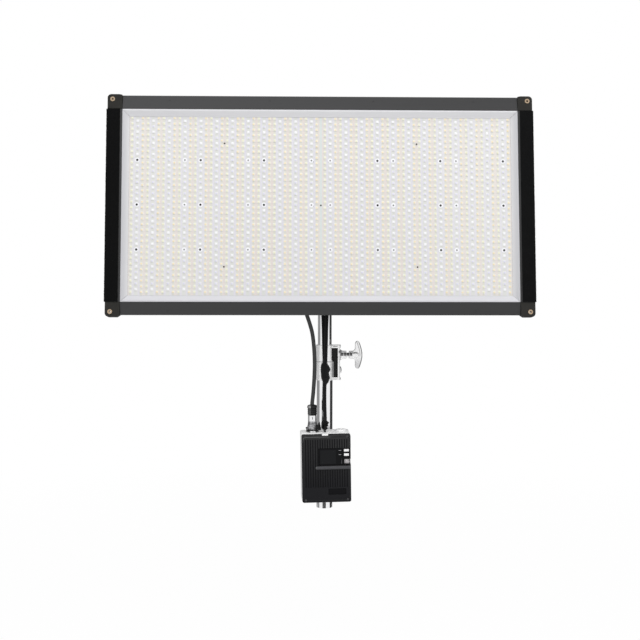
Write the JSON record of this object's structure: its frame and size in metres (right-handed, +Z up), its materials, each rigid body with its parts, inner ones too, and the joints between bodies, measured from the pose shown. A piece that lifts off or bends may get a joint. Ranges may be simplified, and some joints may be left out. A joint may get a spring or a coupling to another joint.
{
  "type": "led panel light",
  "caption": "Flat rectangular LED panel on a tilting head and telescoping clamp post, with a ribbed control box hung beneath on a lanyard.",
  "frame": {"origin": "on the axis of the post, 5 mm under its lower end, where the stand holds it", "axes": "+Z up the post, -Y out of the lit face, +X to the right seen from the front"},
  "size_m": [1.045, 0.2184, 1.037],
  "materials": {
    "chrome": "polished",
    "black_anodised": "satin black anodised",
    "black_moulding": "fine grain",
    "black_casting": "black powder coat",
    "brass": "turned",
    "black_loop": "matt pile",
    "white_reflector": "satin white",
    "white_board": "white solder mask with small light packages",
    "dark_sheet": "satin",
    "light_grey": "satin",
    "black_glass": "gloss",
    "white_key": "satin",
    "grey_knob": "knurled",
    "black_rubber": "matt",
    "black_rope": "braided",
    "cable_jacket": "matt",
    "green_board": "solder mask"
  },
  "bodies": {
    "post": {"lower_tube": "chrome", "collar_casting": "chrome", "guide_bolt": "chrome"},
    "shoe": {"clamp_shoe": "black_rubber"},
    "handle": {"t_handle": "chrome"},
    "riser": {"riser_tube": "chrome", "receiver": "chrome"},
    "pan_lock": {"pan_knob": "black_moulding"},
    "head": {"tilt_yoke": "black_casting", "pivot_bolt": "chrome", "box_chassis": "light_grey", "front_cover": "black_moulding", "display_window": "black_glass", "blank_badge": "black_glass", "head_socket": "light_grey", "power_inlet": "light_grey", "lanyard_eye": "black_casting", "driver_board": "green_board", "cable_plug": "chrome", "cable_boot": "black_rubber", "head_cable": "cable_jacket", "lanyard_loop": "black_rope", "lanyard_knot": "black_rope", "lanyard_tail": "black_rope", "snap_hook": "black_casting"},
    "tilt_lock": {"tilt_lever": "black_moulding"},
    "panel": {"panel_bracket": "black_casting", "back_panel": "dark_sheet", "top_rail": "black_anodised", "bottom_rail": "black_anodised", "left_rail": "black_anodised", "right_rail": "black_anodised", "left_loop_strip": "black_loop", "right_loop_strip": "black_loop", "corner_top_left": "black_moulding", "corner_top_right": "black_moulding", "corner_bottom_left": "black_moulding", "corner_bottom_right": "black_moulding", "insert_top_left": "brass", "insert_top_right": "brass", "insert_bottom_left": "brass", "insert_bottom_right": "brass", "reflector_top": "white_reflector", "reflector_bottom": "white_reflector", "reflector_left": "white_reflector", "reflector_right": "white_reflector", "led_board_1": "white_board", "led_board_2": "white_board", "led_board_3": "white_board", "led_board_4": "white_board", "led_board_5": "white_board", "led_board_6": "white_board", "junction_box": "black_moulding", "cable_gland": "black_rubber"},
    "upper_key": {"menu_key": "white_key"},
    "lower_key": {"mode_key": "white_key"},
    "encoder": {"encoder_wheel": "grey_knob"},
    "latch": {"latch_lever": "black_rubber"},
    "gate": {"hook_gate": "chrome"}
  },
  "joints": [
    {"name": "riser_slide", "type": "slide", "parent": "post", "child": "riser", "axis": [0, 0, 1], "range_m": [0, 0.15]},
    {"name": "handle_turn", "type": "hinge", "parent": "shoe", "child": "handle", "pos_m": [0.0309, 0, 0.397], "axis": [1, 0, 0], "range_deg": [0, 360]},
    {"name": "shoe_slide", "type": "slide", "parent": "post", "child": "shoe", "axis": [1, 0, 0], "range_m": [0, 0.0015]},
    {"name": "head_pan", "type": "hinge", "parent": "riser", "child": "head", "pos_m": [0, 0, 0.68], "axis": [0, 0, 1], "range_deg": [-45, 20]},
    {"name": "pan_knob_turn", "type": "hinge", "parent": "riser", "child": "pan_lock", "pos_m": [0, 0.0149, 0.66], "axis": [0, 1, 0], "range_deg": [0, 360]},
    {"name": "panel_tilt", "type": "hinge", "parent": "head", "child": "panel", "pos_m": [0, 0, 0.757], "axis": [-1, 0, 0], "range_deg": [-14, 37], "deforming": ["head_cable"]},
    {"name": "tilt_lever_turn", "type": "hinge", "parent": "head", "child": "tilt_lock", "pos_m": [0, 0, 0.757], "axis": [1, 0, 0], "range_deg": [-20, 60]},
    {"name": "menu_key_press", "type": "slide", "parent": "head", "child": "upper_key", "axis": [-0.0384, 0.9993, 0], "range_m": [0, 0.0012], "stiffness_N_per_m": 400},
    {"name": "mode_key_press", "type": "slide", "parent": "head", "child": "lower_key", "axis": [-0.0384, 0.9993, 0], "range_m": [0, 0.0012], "stiffness_N_per_m": 400},
    {"name": "encoder_turn", "type": "hinge", "parent": "head", "child": "encoder", "pos_m": [0.00172, -0.10093, 0.14111], "axis": [0.9991, 0.0384, 0.0157], "continuous": true},
    {"name": "latch_press", "type": "hinge", "parent": "head", "child": "latch", "pos_m": [-0.01353, -0.05949, 0.2142], "axis": [-0.0384, 0.9993, 0], "range_deg": [0, 12], "stiffness_Nm_per_rad": 0.06},
    {"name": "gate_open", "type": "hinge", "parent": "head", "child": "gate", "pos_m": [0.00477, -0.06579, 0.22399], "axis": [0.0384, -0.9993, 0], "range_deg": [0, 15], "stiffness_Nm_per_rad": 0.03}
  ],
  "couplings": [
    {"joint": "handle_turn", "follows": "shoe_slide", "rad_per_m": 4188.8}
  ]
}
